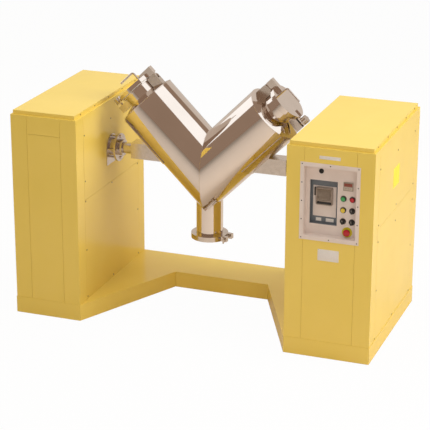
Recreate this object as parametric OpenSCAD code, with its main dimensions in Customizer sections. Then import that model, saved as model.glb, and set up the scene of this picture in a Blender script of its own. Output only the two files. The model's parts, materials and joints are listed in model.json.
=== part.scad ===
// V-blender: a twin-leg V shell turning between two sheet-metal cabinets on a notched base.
// Millimetres, +Z up, origin at the middle of the footprint on the floor.

/* [Base] */
// Length of the base over both ends
base_length = 2214; // [2000:1:2400]
// Depth of the base, front to back
base_depth = 1016; // [900:1:1150]
// Height of the base
base_height = 101; // [80:1:140]
// Thickness of the deck plate
deck_t = 5; // [3:0.5:10]
// Thickness of the skirt plates
skirt_t = 8; // [4:0.5:12]
// How far the front notch runs back
notch_depth = 717; // [600:1:760]
// Width of the notch at its back edge
notch_back_w = 614; // [520:1:700]
// Side of the square ribs under the deck
rib_w = 50; // [30:1:80]
// How far the cabinets stand in from the edge of the base
base_lip = 2.5; // [1:0.5:6]

/* [Cabinets] */
// Width of the left cabinet with its lip
left_cabinet_w = 421; // [360:1:460]
// Width of the right cabinet with its lip
right_cabinet_w = 510; // [460:1:560]
// Height of the cabinets above the base
cabinet_h = 1150; // [1060:1:1250]
// Thickness of the sheet-metal panels
sheet_t = 3; // [2:0.5:4]
// Width of a front corner stile
stile_w = 102; // [80:1:115]
// How far the back sheet is folded forward round the rear corners
back_return = 88; // [60:1:110]
// How far a stile's flange reaches behind the panel beside it
stile_flange = 20; // [10:1:30]
// Height of the front panel under the lid
top_panel_h = 111; // [90:1:130]
// Height of the lower side panels of the left cabinet
left_lower_h = 630; // [560:1:700]
// Height of the lower side panels of the right cabinet
right_lower_h = 678; // [600:1:720]
// Open seam between two panels
seam = 1.5; // [0.5:0.25:3]
// Leg of the corner angles inside a cabinet
angle_w = 40; // [30:1:50]
// Thickness of the corner angles
angle_t = 4; // [3:0.5:6]
// Height of a lid's folded edge
lid_h = 24; // [16:1:32]
// How far a lid stands in from the cabinet
lid_inset = 12; // [6:1:20]

/* [Shell] */
// Outer diameter of a shell leg
leg_d = 362; // [330:1:390]
// Thickness of the shell wall
shell_t = 3; // [2:0.5:5]
// Leg length along its axis, from the crossing of the axes to the head
leg_len = 565; // [520:1:620]
// Height of the crossing of the leg axes above the floor
cross_z = 869.7; // [860:0.1:900]
// Height of the trunnion axis above the floor
axis_z = 955; // [940:1:990]
// Width of the weld bead where head and leg meet
bead_w = 6; // [3:0.5:10]
// How proud the weld bead stands
bead_h = 1.5; // [0.5:0.25:3]
// Radius where the steep part of the head ends
head_mid_r = 125; // [115:1:140]
// Height of the steep part of the head
head_rise = 23; // [15:1:30]
// Height of the shallow part of the head
head_cap_rise = 9; // [5:0.5:14]
// Outer radius of the charging neck
neck_r = 95; // [85:1:100]
// Length of the neck above the head, to the face of its ferrule
neck_len = 60; // [50:1:75]
// Radius of the neck's ferrule
ferrule_r = 110; // [104:1:114]
// Thickness of the neck's ferrule
ferrule_t = 7; // [5:0.5:10]
// Outer radius of the discharge nozzle
nozzle_r = 81; // [70:1:90]
// Height of the nozzle's lower end above the floor
nozzle_end_z = 460; // [455:1:480]

/* [Beams and trunnions] */
// Side of the square beams
beam_w = 96; // [80:1:110]
// Wall of the square beams
beam_wall = 6; // [4:0.5:8]
// Distance from the shell's centre to a beam's outer end
beam_end = 492.5; // [470:0.5:510]
// Thickness of the saddle on a leg
saddle_t = 4; // [3:0.5:8]
// Where a saddle starts along the leg
saddle_start = 215; // [190:1:225]
// Where a saddle ends along the leg
saddle_end = 556; // [480:1:556]
// Angle that a saddle wraps round the leg
saddle_wrap = 88; // [75:1:100]
// Radius of the trunnion shaft
shaft_r = 34; // [28:0.5:38]
// Radius of the bearing flange
flange_r = 86; // [84:1:95]
// Thickness of the bearing flange
flange_t = 12; // [8:1:16]
// Radius of the bearing's hub
hub_r = 50; // [46:1:54]
// Length of the bearing's hub
hub_len = 25; // [15:1:35]
// Gap between a beam's end and the hub
hub_gap = 63; // [40:1:80]
// Radius of the bearing's body
body_r = 56; // [54:0.5:57]
// Radius of the flange bolts' circle
bolt_circle_r = 68; // [67:0.5:70]
// Radius of a flange bolt
bolt_r = 6; // [5:0.5:7]
// Half width of the guard plate round a bearing
guard_half_w = 78; // [78:1:90]
// How far the guard plate reaches below the axis
guard_drop = 103; // [90:1:115]
// Thickness of the guard plate
guard_t = 6; // [4:0.5:10]

/* [Covers] */
// Radius of a charging cover
cover_r = 118; // [114:1:121]
// Thickness of a charging cover
cover_t = 24; // [18:1:28]
// Radius of the dish in a cover's underside
dish_r = 86; // [70:1:90]
// Depth of the dish
dish_depth = 14; // [6:1:14]
// Thickness of a cover's gasket
gasket_t = 3; // [2:0.5:4]
// Width across a hinge arm
arm_w = 36; // [30:1:40]
// Thickness of a hinge arm where it lies on the cover
arm_t = 19; // [14:1:24]
// Distance from the leg's axis to the hinge pin
hinge_o = 140; // [139:0.5:142]
// Distance from the neck's face back to the hinge pin
hinge_drop = 23; // [22:0.5:24]
// Radius of a hinge pin
hinge_pin_r = 8; // [6:0.5:9]
// Half size of the hinge block round its pin
hinge_block_half = 20; // [19:0.5:20.5]
// Thickness of the tongue in the hinge block
tongue_t = 18; // [14:1:22]
// Distance from the leg's axis to the latch screw
latch_o = 148; // [146:0.5:150]
// Width of a latch block
latch_w = 32; // [28:1:38]
// Radius of a hand knob
knob_r = 24; // [18:1:26]
// Height of a hand knob
knob_h = 31; // [24:1:36]
// Radius of a latch screw
latch_screw_r = 7; // [5:0.5:7.5]
// Radius of a cover handle's rod
handle_rod_r = 6; // [4:0.5:8]
// How high a cover handle stands above its cover
handle_rise = 59; // [45:1:70]
// Reach of a cover handle across its cover
handle_reach = 107; // [90:1:115]

/* [Discharge closure] */
// Outer radius of the discharge clamp
clamp_r = 112.5; // [106:0.5:118]
// Height of the discharge clamp
clamp_h = 30; // [26:1:36]
// Thickness of the closing plate
cap_plate_t = 7; // [5:0.5:7.5]
// Width of a clamp ear, along the clamp
ear_w = 26; // [18:1:30]
// How far a clamp ear stands out of the band
ear_reach = 26; // [20:1:32]
// Gap between the clamp's ears
ear_gap = 40; // [32:1:46]
// Angle of the ears round the nozzle, from +X towards the back
ear_turn = -9; // [-40:1:10]
// Radius of the clamp bolt
clamp_bolt_r = 5; // [4:0.5:6]
// Span of a wing nut
wing_span = 46; // [36:1:56]

/* [Drive] */
// Distance from the cabinet's inner face to the middle of the shaft coupling
coupling_line = 74; // [70:1:90]
// Radius of the coupling's flanges
coupling_r = 82; // [76:1:90]
// Thickness of a coupling flange
coupling_t = 14; // [10:1:18]
// Length of the coupling over both hubs
coupling_len = 60; // [50:1:66]
// Radius of a coupling bolt
coupling_bolt_r = 5; // [4:0.5:6]
// Radius of the gearbox's output shaft
output_r = 20; // [16:1:24]
// Length of the gearbox
gearbox_len = 160; // [130:1:170]
// Width of the gearbox
gearbox_w = 170; // [140:1:190]
// Height of the gearbox, half of it above the shaft
gearbox_h = 180; // [150:1:190]
// Radius of the motor's body
motor_r = 72; // [60:1:80]
// Length of the motor with its fan cover
motor_len = 190; // [160:1:200]
// Number of cooling fins on the motor
fin_count = 24; // [16:1:32]

/* [Control panel] */
// Width of the control bezel
bezel_w = 346; // [330:1:380]
// Height of the control bezel
bezel_h = 454; // [430:1:480]
// Thickness of the control bezel
bezel_t = 2; // [1:0.25:2]
// Distance from the top of the cabinet down to the bezel's middle
bezel_drop = 314; // [300:1:350]
// Width of the recess in the bezel
recess_w = 302; // [280:1:302]
// Height of the recess in the bezel
recess_h = 406; // [380:1:410]
// Depth of the recess
recess_depth = 45; // [30:1:60]
// Half the distance between the two columns of switches
switch_half_pitch = 26; // [25:0.5:28]
// Height between two rows of switches
switch_row = 66.5; // [60:0.5:72]
// Radius of a push button
button_r = 14; // [11:0.5:16]
// Travel of a push button
button_travel = 4; // [3:0.5:5]
// Radius of the stop button's head
stop_r = 20; // [17:0.5:24]
// Travel of the stop button
stop_travel = 6; // [4:0.5:7]
// Side of the square instrument
instrument_w = 98; // [90:1:104]

/* [Hidden] */
$fn = 96;
// Clearance between faces that may slide or that lie close on different bodies
gap = 0.3;
// Radial clearance of a running fit
fit = 0.05;
// Overrun of every cut
cut = 2;
// Overlap of the two halves of the shell's inner space
seam_lap = 0.2;
// Angle between a leg and the upright
leg_angle = 45;

// Places of the cabinets and of the shell between them
base_x = base_length / 2;
base_y = base_depth / 2;
left_x0 = base_lip - base_x;
left_x1 = left_cabinet_w - base_x;
right_x0 = base_x - right_cabinet_w;
right_x1 = base_x - base_lip;
cab_y = base_y - base_lip;
cab_top = base_height + cabinet_h;
shell_x = (left_x1 + right_x0) / 2;
half_gap = (right_x0 - left_x1) / 2;
leg_r = leg_d / 2;

// Distances along a leg from the crossing of the axes
head_mid_s = leg_len + head_rise;
neck_start_s = head_mid_s + head_cap_rise;
ferrule_end_s = neck_start_s + neck_len;
gasket_s = ferrule_end_s + gap;
cover_s = gasket_s + gasket_t;
cover_top_s = cover_s + cover_t;
arm_top_s = cover_top_s + arm_t;
pin_s = ferrule_end_s - hinge_drop;
block_top_s = pin_s + hinge_block_half;
arm_base_s = block_top_s + cut * 2;
hinge_out_o = hinge_o + hinge_block_half;
arm_foot_o = cover_r * 0.51;
tongue_end_r = hinge_block_half - cut * 2;

// Latch: the block on the neck, the ear on the cover and the screw through both
ear_t = 8;
ear_half_w = latch_w * 0.44;
latch_half_len = latch_w * 0.8;
latch_top_s = cover_s - gap - latch_w * 0.38;
latch_base_s = latch_top_s - latch_w * 1.35;
ear_out_o = latch_o + latch_half_len * 0.85;
screw_tip_s = latch_top_s - latch_w * 0.56;
screw_room = 1.5;
latch_room_share = 0.6;
latch_pin_r = latch_screw_r * 0.7;
latch_pin_s = (latch_base_s + screw_tip_s) / 2;
strap_t = ear_t;
strap_half_w = latch_w * 0.25;
strap_start_o = cover_r * 0.6;

// Trunnions, as distances from the shell's centre
hub_u = beam_end + hub_gap;
flange_u = hub_u + hub_len;
body_u = flange_u + flange_t;
panel_u = half_gap;
guard_u = panel_u - guard_t;
pedestal_u = panel_u + sheet_t + gap;
pedestal_t = 20;
pedestal_end_u = pedestal_u + pedestal_t;
pedestal_half_w = guard_half_w * 1.35;
pedestal_top_z = axis_z + flange_r * 1.15;
bolt_head_r = bolt_r * 1.75;
bolt_head_h = bolt_r * 1.3;
collar_r = hub_r;
collar_t = flange_t * 1.4;
shaft_end_u = panel_u + coupling_line - gap / 2;

// Bolts in a flange
bolt_count = 4;

// Drive in line with the trunnions: coupling, gearbox and motor
coupling_u = panel_u + coupling_line;
coupling_hub_r = shaft_r * 1.6;
coupling_circle_r = (coupling_r + coupling_hub_r) / 2;
coupling_bolt_count = 6;
gearbox_u = coupling_u + coupling_len / 2 + collar_t;
motor_u = gearbox_u + gearbox_len;

// Control panel
front_y = -cab_y;
panel_mid_x = (right_x0 + right_x1) / 2;
pan_y = front_y + recess_depth;
bezel_mid_z = cab_top - bezel_drop;
pan_t = sheet_t * 0.8;
switch_x = panel_mid_x + recess_w * 0.308;
row_z = bezel_mid_z + bezel_h * 0.0485;
button_room = 0.4;
stem_len = recess_depth * 0.5;
display_w = instrument_w * 0.56;

// More values of the base
skirt_h = base_height - deck_t;
notch_y = notch_depth - base_y;
notch_x0 = shell_x - notch_back_w / 2;
notch_x1 = shell_x + notch_back_w / 2;

// More values of the trunnions and pedestals
panel_hole_r = bolt_circle_r + bolt_r + gap;
foot_w = 80;
foot_t = 12;
gusset_h = 160;

// Handles on the covers
handle_y = arm_w / 2 + handle_rod_r + 1.5 * gap;
handle_o = cover_r / 2;
handle_bend_r = handle_rod_r * 2.5;

// Bar and T screw at the shell's apex
apex_bar_w = 12;
apex_bar_o = 170;
apex_bar_s0 = -130;
apex_bar_s1 = -50;
apex_screw_r = 5;
apex_screw_len = 20;
apex_tee_len = 34;
apex_y = -nozzle_r - gap - apex_bar_w / 2 - cut;
apex_screw_s = apex_bar_s1 - apex_bar_w;
apex_screw_o = apex_bar_o - apex_bar_w / 2;

// Discharge closure
cap_z = nozzle_end_z - gap - cap_plate_t;
ear_mid = ear_gap / 2 + ear_w / 2;
bolt_out = clamp_r + ear_reach / 2;
clamp_bolt_z = cap_z + clamp_h / 2;
wing_len = 18;
wing_hub_r = 9;
wing_t = 4;

// Controls on the pan
stop_row_share = 2.93;
display_row_share = 1.11;
display_h = display_w * 0.89;
display_body_share = 0.82;
case_t = 6;
case_depth = 60;
window_w = 159.4;
window_h = 258;
window_x = panel_mid_x - recess_w * 0.16;
window_z = bezel_mid_z - recess_h * 0.035;
window_depth = 25;
liner_t = 2;
plate_w = 134.6;
plate_h = 179.5;
instrument_h = instrument_w * 1.07;
instrument_z = window_z + plate_h * 0.18;
instrument_proud = 12;
instrument_corner = 9;
switch_body_r = 11.2;
switch_face_r = button_r * 1.18;
switch_block_w = 30;
switch_block_h = 40;
switch_face_t = 5;
cap_r = button_r * 0.86;
cap_proud = 8;
switch_stem_r = cap_r * 0.7;
switch_depth = 45;
stop_dome_t = 12;
grip_w = 8;
grip_h = 9;
stop_z = row_z - stop_row_share * switch_row;
display_z = row_z + display_row_share * switch_row;

paint = [0.85, 0.71, 0.34];
steel = [0.80, 0.77, 0.73];
grey = [0.45, 0.46, 0.47];
pale = [0.82, 0.78, 0.75];
dark = [0.20, 0.20, 0.22];

// Outline helpers: the inward normal of an edge, a point counted round, and an inset outline
function inward(a, b) = [a.y - b.y, b.x - a.x] / norm(b - a);
function at(points, i) = points[(i + len(points)) % len(points)];
function inset(points, t) = [for (i = [0:len(points) - 1])
    let (n1 = inward(at(points, i - 1), points[i]), n2 = inward(points[i], at(points, i + 1)))
    points[i] + t * (n1 + n2) / (1 + n1 * n2)];

base_outline = [[-base_x, -base_y], [left_x1, -base_y], [notch_x0, notch_y], [notch_x1, notch_y],
    [right_x0, -base_y], [base_x, -base_y], [base_x, base_y], [-base_x, base_y]];
skirt_inner = inset(base_outline, skirt_t);

// Outlines of one leg with its head, neck and ferrule, as radius and distance along the leg
function leg_outline(grow) = [[0, -leg_d], [leg_r + grow, -leg_d],
    [leg_r + grow, leg_len - bead_w / 2],
    [leg_r + bead_h + grow, leg_len - bead_w / 4],
    [leg_r + bead_h + grow, leg_len + bead_w / 4],
    [head_mid_r + grow, head_mid_s + grow],
    [neck_r + grow, neck_start_s + grow],
    [neck_r + grow, ferrule_end_s - ferrule_t - grow],
    [ferrule_r + grow, ferrule_end_s - ferrule_t - grow],
    [ferrule_r + grow, ferrule_end_s], [0, ferrule_end_s]];
leg_inner = [[0, -leg_d], [leg_r - shell_t, -leg_d], [leg_r - shell_t, leg_len - shell_t],
    [head_mid_r - shell_t, head_mid_s - shell_t], [neck_r - shell_t, neck_start_s - shell_t],
    [neck_r - shell_t, ferrule_end_s + cut], [0, ferrule_end_s + cut]];

// Puts its children in the frame of one leg: x points outwards, z runs along the leg
module on_leg(side) {
    translate([shell_x, 0, 0]) mirror([side < 0 ? 1 : 0, 0, 0])
        translate([0, 0, cross_z]) rotate([0, leg_angle, 0]) children();
}

// Puts its children on one side of the shell, with x as the distance from its centre
module on_side(side) {
    translate([shell_x, 0, axis_z]) mirror([side < 0 ? 1 : 0, 0, 0]) children();
}

// A round bar along x, from one distance to another
module bar_x(r, from, to) {
    translate([from, 0, 0]) rotate([0, 90, 0]) cylinder(r = r, h = to - from);
}

// A round bar along y, centred
module bar_y(r, length) {
    rotate([90, 0, 0]) cylinder(r = r, h = length, center = true);
}

// A round bar along z, from one distance to another
module bar_z(r, from, to) {
    translate([0, 0, from]) cylinder(r = r, h = to - from);
}

// A box between two corners
module span(a, b) {
    translate(a) cube(b - a);
}

// Everything on one side of the shell's middle plane, with a lap past it
module half_space(side, lap) {
    translate([shell_x, 0, 0]) mirror([side < 0 ? 1 : 0, 0, 0])
        span([-lap, -leg_d, 0], [leg_d * 3, leg_d, axis_z * 2]);
}

// One leg with its head as a solid, larger all round by a small amount
module leg_solid(side, grow) {
    on_leg(side) rotate_extrude() polygon(leg_outline(grow));
}

module base_rails() color(paint) {
    for (i = [0:len(base_outline) - 1]) {
        a = base_outline[i];
        b = at(base_outline, i + 1);
        pull = gap * (b - a) / norm(b - a);
        linear_extrude(skirt_h)
            polygon([a + pull, b - pull, at(skirt_inner, i + 1) - pull, skirt_inner[i] + pull]);
    }
    rib_y = base_y - skirt_t - gap;
    for (x = [(left_x0 + left_x1) / 2, (right_x0 + right_x1) / 2])
        span([x - rib_w / 2, -rib_y, skirt_h - rib_w], [x + rib_w / 2, rib_y, skirt_h]);
    for (x = [shell_x - notch_back_w / 6, shell_x + notch_back_w / 6])
        span([x - rib_w / 2, notch_y + skirt_t + gap, skirt_h - rib_w], [x + rib_w / 2, rib_y, skirt_h]);
}

module base_deck() color(paint) translate([0, 0, skirt_h]) linear_extrude(deck_t)
    polygon(base_outline);

// Section of an angle with its corner at the origin
module angle_section() {
    polygon([[0, 0], [angle_w, 0], [angle_w, angle_t], [angle_t, angle_t], [angle_t, angle_w],
        [0, angle_w]]);
}

// Corner posts and top rails of a cabinet
module cabinet_frame(x0, x1) color(paint) {
    in_x0 = x0 + sheet_t;
    in_x1 = x1 - sheet_t;
    in_y = cab_y - sheet_t;
    side_y = in_y - angle_w - gap;
    for (mx = [0, 1], my = [0, 1])
        translate([mx == 1 ? in_x1 : in_x0, my == 1 ? in_y : -in_y, base_height])
            mirror([mx, 0, 0]) mirror([0, my, 0])
                linear_extrude(cabinet_h - angle_w - gap) angle_section();
    for (my = [0, 1])
        mirror([0, my, 0]) translate([in_x0, -in_y, cab_top]) rotate([90, 0, 90])
            mirror([0, 1, 0]) linear_extrude(in_x1 - in_x0) angle_section();
    for (mx = [0, 1])
        translate([mx == 1 ? in_x1 : in_x0, side_y, cab_top]) mirror([mx, 0, 0])
            rotate([90, 0, 0]) mirror([0, 1, 0]) linear_extrude(side_y * 2) angle_section();
}

// Section of a sheet's edge at x, with the strip behind it that the next panel seats on
function seat_edge(x) = [[x, 0], [x, sheet_t], [x + stile_flange, sheet_t], [x + stile_flange, sheet_t * 2],
    [x - stile_flange, sheet_t * 2], [x - stile_flange, sheet_t]];

// The same section on the sheet round the corner, in the order that closes the outline
function seat_turned(y) = [for (i = [5:-1:0]) let (p = seat_edge(y)[i]) [p.y, p.x]];

// Room for the top rails, cut from the strip behind a sheet's edge
module rail_room(x) {
    translate([x - stile_flange - cut, sheet_t, cabinet_h - angle_w - gap])
        cube([stile_flange * 2 + cut * 2, sheet_t * 2, angle_w * 2]);
}

// Front corner stiles, folded round the corner
module stiles(x0, x1) {
    for (m = [0, 1])
        translate([m == 1 ? x1 : x0, -cab_y, base_height]) mirror([m, 0, 0]) difference() {
            linear_extrude(cabinet_h)
                polygon(concat([[0, 0]], seat_edge(stile_w), [[sheet_t, sheet_t]], seat_turned(stile_w)));
            rail_room(stile_w);
            mirror([1, -1, 0]) rail_room(stile_w);
        }
}

// The space of the control pan with its clearance, cut from what stands round it
module pan_space() {
    half_w = recess_w / 2 + pan_t + gap;
    half_h = recess_h / 2 + pan_t + gap;
    span([panel_mid_x - half_w, front_y - cut, bezel_mid_z - half_h],
        [panel_mid_x + half_w, pan_y + pan_t, bezel_mid_z + half_h]);
}

module front_panel(x0, x1, z0, z1) {
    span([x0 + stile_w + seam, -cab_y, z0], [x1 - stile_w - seam, sheet_t - cab_y, z1]);
}

// Lower and upper panel of one side, from the inner or outer face given by its lower x
module side_panels(x, lower_h) {
    y0 = stile_w + seam - cab_y;
    y1 = cab_y - back_return - seam;
    split_z = base_height + lower_h;
    span([x, y0, base_height], [x + sheet_t, y1, split_z - seam / 2]);
    span([x, y0, split_z + seam / 2], [x + sheet_t, y1, cab_top]);
}

// The back sheet, folded forward round both rear corners
module back_panel(x0, x1) {
    half = (x1 - x0) / 2;
    translate([x0 + half, cab_y, base_height]) mirror([0, 1, 0]) difference() {
        linear_extrude(cabinet_h) for (m = [0, 1]) mirror([m, 0, 0]) translate([-half, 0])
            polygon(concat([[0, 0], [half + cut, 0], [half + cut, sheet_t], [sheet_t, sheet_t]],
                seat_turned(back_return)));
        for (m = [0, 1]) mirror([m, 0, 0]) translate([-half, 0, 0]) mirror([1, -1, 0]) rail_room(back_return);
    }
}

// A folded lid, open underneath
module lid(x0, x1) {
    y = cab_y - lid_inset;
    difference() {
        span([x0 + lid_inset, -y, cab_top], [x1 - lid_inset, y, cab_top + lid_h]);
        span([x0 + lid_inset + sheet_t, sheet_t - y, cab_top - cut],
            [x1 - lid_inset - sheet_t, y - sheet_t, cab_top + lid_h - sheet_t]);
    }
}

module bearing_hole() {
    translate([shell_x, 0, axis_z]) rotate([0, 90, 0])
        cylinder(r = panel_hole_r, h = base_length, center = true);
}

module left_frame() cabinet_frame(left_x0, left_x1);
module left_stiles() color(paint) stiles(left_x0, left_x1);
module left_front_panels() color(paint) {
    split_z = cab_top - top_panel_h;
    front_panel(left_x0, left_x1, base_height, split_z - seam / 2);
    front_panel(left_x0, left_x1, split_z + seam / 2, cab_top);
}
module left_inner_panels() color(paint) difference() {
    side_panels(left_x1 - sheet_t, left_lower_h);
    bearing_hole();
}
module left_outer_panels() color(paint) side_panels(left_x0, left_lower_h);
module left_back_panel() color(paint) back_panel(left_x0, left_x1);
module left_lid() color(paint) lid(left_x0, left_x1);

module right_frame() cabinet_frame(right_x0, right_x1);
module right_stiles() color(paint) difference() {
    stiles(right_x0, right_x1);
    pan_space();
}
module right_front_panels() color(paint) difference() {
    union() {
        front_panel(right_x0, right_x1, base_height, bezel_mid_z - recess_h / 2);
        front_panel(right_x0, right_x1, bezel_mid_z + recess_h / 2, cab_top);
    }
    pan_space();
}
module right_inner_panels() color(paint) difference() {
    side_panels(right_x0, right_lower_h);
    bearing_hole();
}
module right_outer_panels() color(paint) side_panels(right_x1 - sheet_t, right_lower_h);
module right_back_panel() color(paint) back_panel(right_x0, right_x1);
module right_lid() color(paint) lid(right_x0, right_x1);

// The bolts of both flanges, or their holes
module on_bolts(side) {
    on_side(side) for (i = [0:bolt_count - 1]) rotate([360 * i / bolt_count, 0, 0])
        translate([0, 0, bolt_circle_r]) children();
}

// Upright plates on gusseted feet inside the cabinets, which carry the bearings
module pedestals() color(grey) for (side = [-1, 1]) difference() {
    on_side(side) {
        floor_z = base_height - axis_z;
        span([pedestal_u, -pedestal_half_w, floor_z],
            [pedestal_end_u, pedestal_half_w, pedestal_top_z - axis_z]);
        span([pedestal_u, -pedestal_half_w, floor_z],
            [pedestal_u + foot_w, pedestal_half_w, floor_z + foot_t]);
        for (y = [-pedestal_half_w + foot_t / 2, pedestal_half_w - foot_t / 2])
            translate([pedestal_end_u - cut, y, floor_z + foot_t - cut]) rotate([90, 0, 0])
                linear_extrude(foot_t, center = true)
                    polygon([[0, 0], [foot_w - pedestal_t, 0], [0, gusset_h]]);
    }
    on_side(side) bar_x(body_r + fit, pedestal_u - cut, pedestal_end_u + cut);
    on_bolts(side) bar_x(bolt_r + fit, pedestal_u - cut, pedestal_end_u + cut);
}

module bearings() color(steel) for (side = [-1, 1]) difference() {
    on_side(side) {
        bar_x(hub_r, hub_u, flange_u);
        bar_x(flange_r, flange_u, body_u);
        bar_x(body_r, body_u, pedestal_end_u);
    }
    on_side(side) bar_x(shaft_r + fit, hub_u - cut, pedestal_end_u + cut);
    on_bolts(side) bar_x(bolt_r + fit, flange_u - cut, body_u + cut);
}

module guard_plates() color(steel) for (side = [-1, 1]) difference() {
    on_side(side) {
        bar_x(guard_half_w, guard_u, panel_u);
        span([guard_u, -guard_half_w, -guard_drop], [panel_u, guard_half_w, 0]);
    }
    on_side(side) bar_x(body_r + gap, guard_u - cut, panel_u + cut);
    on_bolts(side) bar_x(bolt_r + gap, guard_u - cut, panel_u + cut);
}

// Long hexagon bolts from the flange to the pedestal
module flange_bolts() color(steel) for (side = [-1, 1]) on_bolts(side) {
    bar_x(bolt_r, flange_u - cut, pedestal_end_u + cut);
    translate([flange_u - bolt_head_h, 0, 0]) rotate([0, 90, 0])
        cylinder(r = bolt_head_r, h = bolt_head_h, $fn = 6);
    translate([pedestal_end_u, 0, 0]) rotate([0, 90, 0])
        cylinder(r = bolt_head_r, h = bolt_head_h, $fn = 6);
}

// The right side's drive, behind the pedestal and in line with the shaft
module gearbox() color(grey) on_side(1) difference() {
    union() {
        span([gearbox_u, -gearbox_w / 2, -gearbox_h / 2],
            [gearbox_u + gearbox_len, gearbox_w / 2, gearbox_h / 2]);
        bar_x(output_r * 2.2, gearbox_u - collar_t / 2, gearbox_u + cut);
    }
    bar_x(output_r + fit, gearbox_u - collar_t, gearbox_u + gearbox_len / 2);
}

module motor() color(grey) on_side(1) {
    fin_t = motor_r / 18;
    bar_x(motor_r * 0.85, motor_u, motor_u + motor_len * 0.8);
    bar_x(motor_r, motor_u, motor_u + fin_t * 2);
    bar_x(motor_r, motor_u + motor_len * 0.8, motor_u + motor_len);
    for (i = [0:fin_count - 1]) rotate([360 * i / fin_count, 0, 0])
        span([motor_u + fin_t, -fin_t / 2, 0], [motor_u + motor_len * 0.82, fin_t / 2, motor_r * 0.96]);
}

module motor_stand() color(paint) on_side(1) {
    top_z = -gearbox_h / 2;
    floor_z = base_height - axis_z;
    end_u = motor_u + motor_len / 2;
    leg_y = gearbox_w / 2 - angle_w;
    span([gearbox_u, -gearbox_w / 2, top_z - foot_t], [end_u, gearbox_w / 2, top_z]);
    for (u = [gearbox_u, end_u - angle_w], y = [-gearbox_w / 2, leg_y])
        span([u, y, floor_z], [u + angle_w, y + angle_w, top_z - foot_t + fit]);
}

// Puts its children on each bolt of the coupling
module on_coupling_bolts() {
    on_side(1) for (i = [0:coupling_bolt_count - 1]) rotate([360 * i / coupling_bolt_count, 0, 0])
        translate([0, 0, coupling_circle_r]) children();
}

// Two flanged hubs: one on the trunnion shaft and one on the gearbox's shaft
module coupling_flanges() color(dark) difference() {
    on_side(1) for (end = [-1, 1]) {
        mid = coupling_u + end * gap / 2;
        bar_x(coupling_r, min(mid, mid + end * coupling_t), max(mid, mid + end * coupling_t));
        bar_x(coupling_hub_r, min(mid, coupling_u + end * coupling_len / 2),
            max(mid, coupling_u + end * coupling_len / 2));
    }
    on_side(1) bar_x(shaft_r + fit, coupling_u - coupling_len, coupling_u);
    on_side(1) bar_x(output_r + fit, coupling_u - cut, coupling_u + coupling_len);
    on_coupling_bolts() bar_x(coupling_bolt_r + fit, coupling_u - coupling_len, coupling_u + coupling_len);
}

module coupling_bolts() color(steel) on_coupling_bolts() {
    reach = coupling_t + gap / 2;
    bar_x(coupling_bolt_r, coupling_u - reach - cut, coupling_u + reach + cut);
    for (end = [-1, 1]) translate([coupling_u + end * (reach + coupling_bolt_r * 0.7), 0, 0])
        rotate([0, 90, 0])
            cylinder(r = coupling_bolt_r * 1.8, h = coupling_bolt_r * 1.4, center = true, $fn = 6);
}

module output_shaft() color(steel) on_side(1)
    bar_x(output_r, coupling_u + gap / 2, gearbox_u + gearbox_len / 2 - cut);

// Both legs mitred at the middle plane, hollow from head to head, and open to the nozzle
module shell() color(steel) difference() {
    union() for (side = [-1, 1]) intersection() {
        leg_solid(side, 0);
        half_space(side, 0);
    }
    for (side = [-1, 1]) intersection() {
        on_leg(side) rotate_extrude() polygon(leg_inner);
        half_space(side, seam_lap);
    }
    translate([shell_x, 0, 0]) bar_z(nozzle_r - shell_t, nozzle_end_z, cross_z);
}

module discharge_nozzle() color(steel) difference() {
    translate([shell_x, 0, 0]) bar_z(nozzle_r, nozzle_end_z, cross_z);
    translate([shell_x, 0, 0]) bar_z(nozzle_r - shell_t, nozzle_end_z - cut, cross_z + cut);
    for (side = [-1, 1]) intersection() {
        leg_solid(side, fit);
        half_space(side, seam_lap);
    }
}

// A square beam coped to a leg, with the saddle that spreads its load and an end plate
module beam(side) color(steel) {
    half_w = beam_w / 2;
    in_w = half_w - beam_wall;
    difference() {
        on_side(side) span([leg_r, -half_w, -half_w], [beam_end, half_w, half_w]);
        on_side(side) span([leg_r - cut, -in_w, -in_w], [beam_end - flange_t, in_w, in_w]);
        on_side(side) bar_x(shaft_r + fit, leg_r, beam_end + cut);
        on_leg(side) bar_z(leg_r + saddle_t / 2, -leg_d, leg_len * 2);
    }
    on_leg(side) translate([0, 0, saddle_start]) rotate(-saddle_wrap / 2)
        rotate_extrude(angle = saddle_wrap) translate([leg_r + fit, 0])
            square([saddle_t - fit, saddle_end - saddle_start]);
}

module left_beam() beam(-1);
module right_beam() beam(1);

module trunnion_shafts() color(steel) for (side = [-1, 1])
    on_side(side) bar_x(shaft_r, beam_end - flange_t * 2, shaft_end_u);

module shaft_collar() color(dark) on_side(-1) difference() {
    bar_x(collar_r, pedestal_end_u + cut, pedestal_end_u + cut + collar_t);
    bar_x(shaft_r + fit, pedestal_end_u, pedestal_end_u + cut * 2 + collar_t);
}

// Blocks between head and neck that hold the hinge pins, slotted for the tongues
module hinge_blocks() color(steel) for (side = [-1, 1]) difference() {
    half_w = hinge_block_half;
    slot_w = tongue_t / 2 + gap * 2;
    on_leg(side) {
        translate([-hinge_o, 0, pin_s]) bar_y(hinge_block_half, half_w * 2);
        span([-hinge_out_o, -half_w, leg_len], [-neck_r, half_w, pin_s]);
        span([-hinge_o, -half_w, leg_len], [-neck_r, half_w, block_top_s]);
    }
    leg_solid(side, fit);
    on_leg(side) span([-hinge_out_o - cut, -slot_w, pin_s - tongue_end_r - gap * 3],
        [tongue_end_r + gap * 3 - hinge_o, slot_w, block_top_s + cut]);
    on_leg(side) translate([-hinge_o, 0, pin_s]) bar_y(hinge_pin_r + fit, half_w * 2 + cut);
}

module hinge_pins() color(steel) for (side = [-1, 1])
    on_leg(side) translate([-hinge_o, 0, pin_s]) bar_y(hinge_pin_r, hinge_block_half * 2);

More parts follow.
